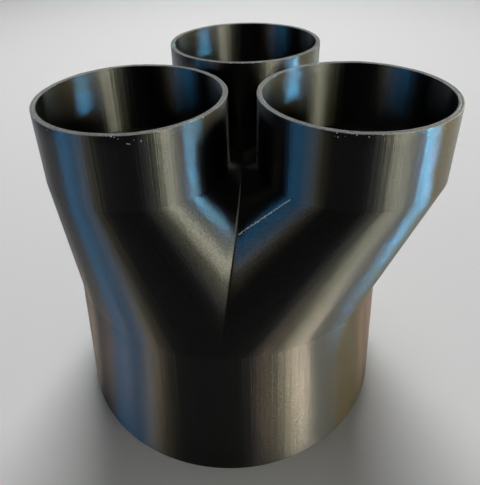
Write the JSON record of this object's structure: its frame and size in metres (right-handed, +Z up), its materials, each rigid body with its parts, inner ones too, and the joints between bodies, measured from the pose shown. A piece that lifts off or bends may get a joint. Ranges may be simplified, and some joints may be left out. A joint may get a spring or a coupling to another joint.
{
  "type": "three-way duct splitter",
  "caption": "Duct splitter with one wide round inlet below and three round outlets above, joined by slanted legs in one thin-walled printed piece.",
  "frame": {"origin": "centre of the inlet's open lower rim", "axes": "+Z up along the outlets' axes; +X to the right and +Y to the back in the picture"},
  "size_m": [0.2191, 0.2229, 0.207],
  "materials": {
    "printed_plastic": "black printed plastic, satin, with fine level layer lines"
  },
  "bodies": {
    "root": {"splitter_body": "printed_plastic"}
  },
  "joints": []
}
